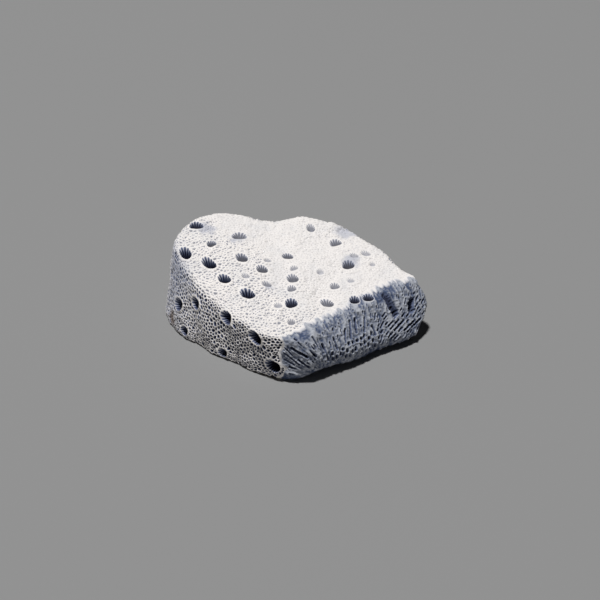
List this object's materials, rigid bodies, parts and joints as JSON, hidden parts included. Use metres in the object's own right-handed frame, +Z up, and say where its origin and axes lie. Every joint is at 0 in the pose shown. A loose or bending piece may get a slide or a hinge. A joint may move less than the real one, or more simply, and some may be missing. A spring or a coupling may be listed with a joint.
{
  "type": "sponge coral fragment",
  "caption": "Low wedge-shaped slab of porous coral skeleton, with natural pitted skin, a broken face of cut tubes and a flat underside to rest on.",
  "frame": {"origin": "middle of the bounding box, on the flat underside", "axes": "+X along the slab's long way, towards its right end; +Z up from the flat underside, the slab's thin way; the broken face looks to +X and -Y"},
  "size_m": [0.026, 0.0216, 0.0077],
  "materials": {
    "coral": "matt and chalky, off-white skin with blue-grey pores and break"
  },
  "bodies": {
    "root": {"coral": "coral"}
  },
  "joints": []
}
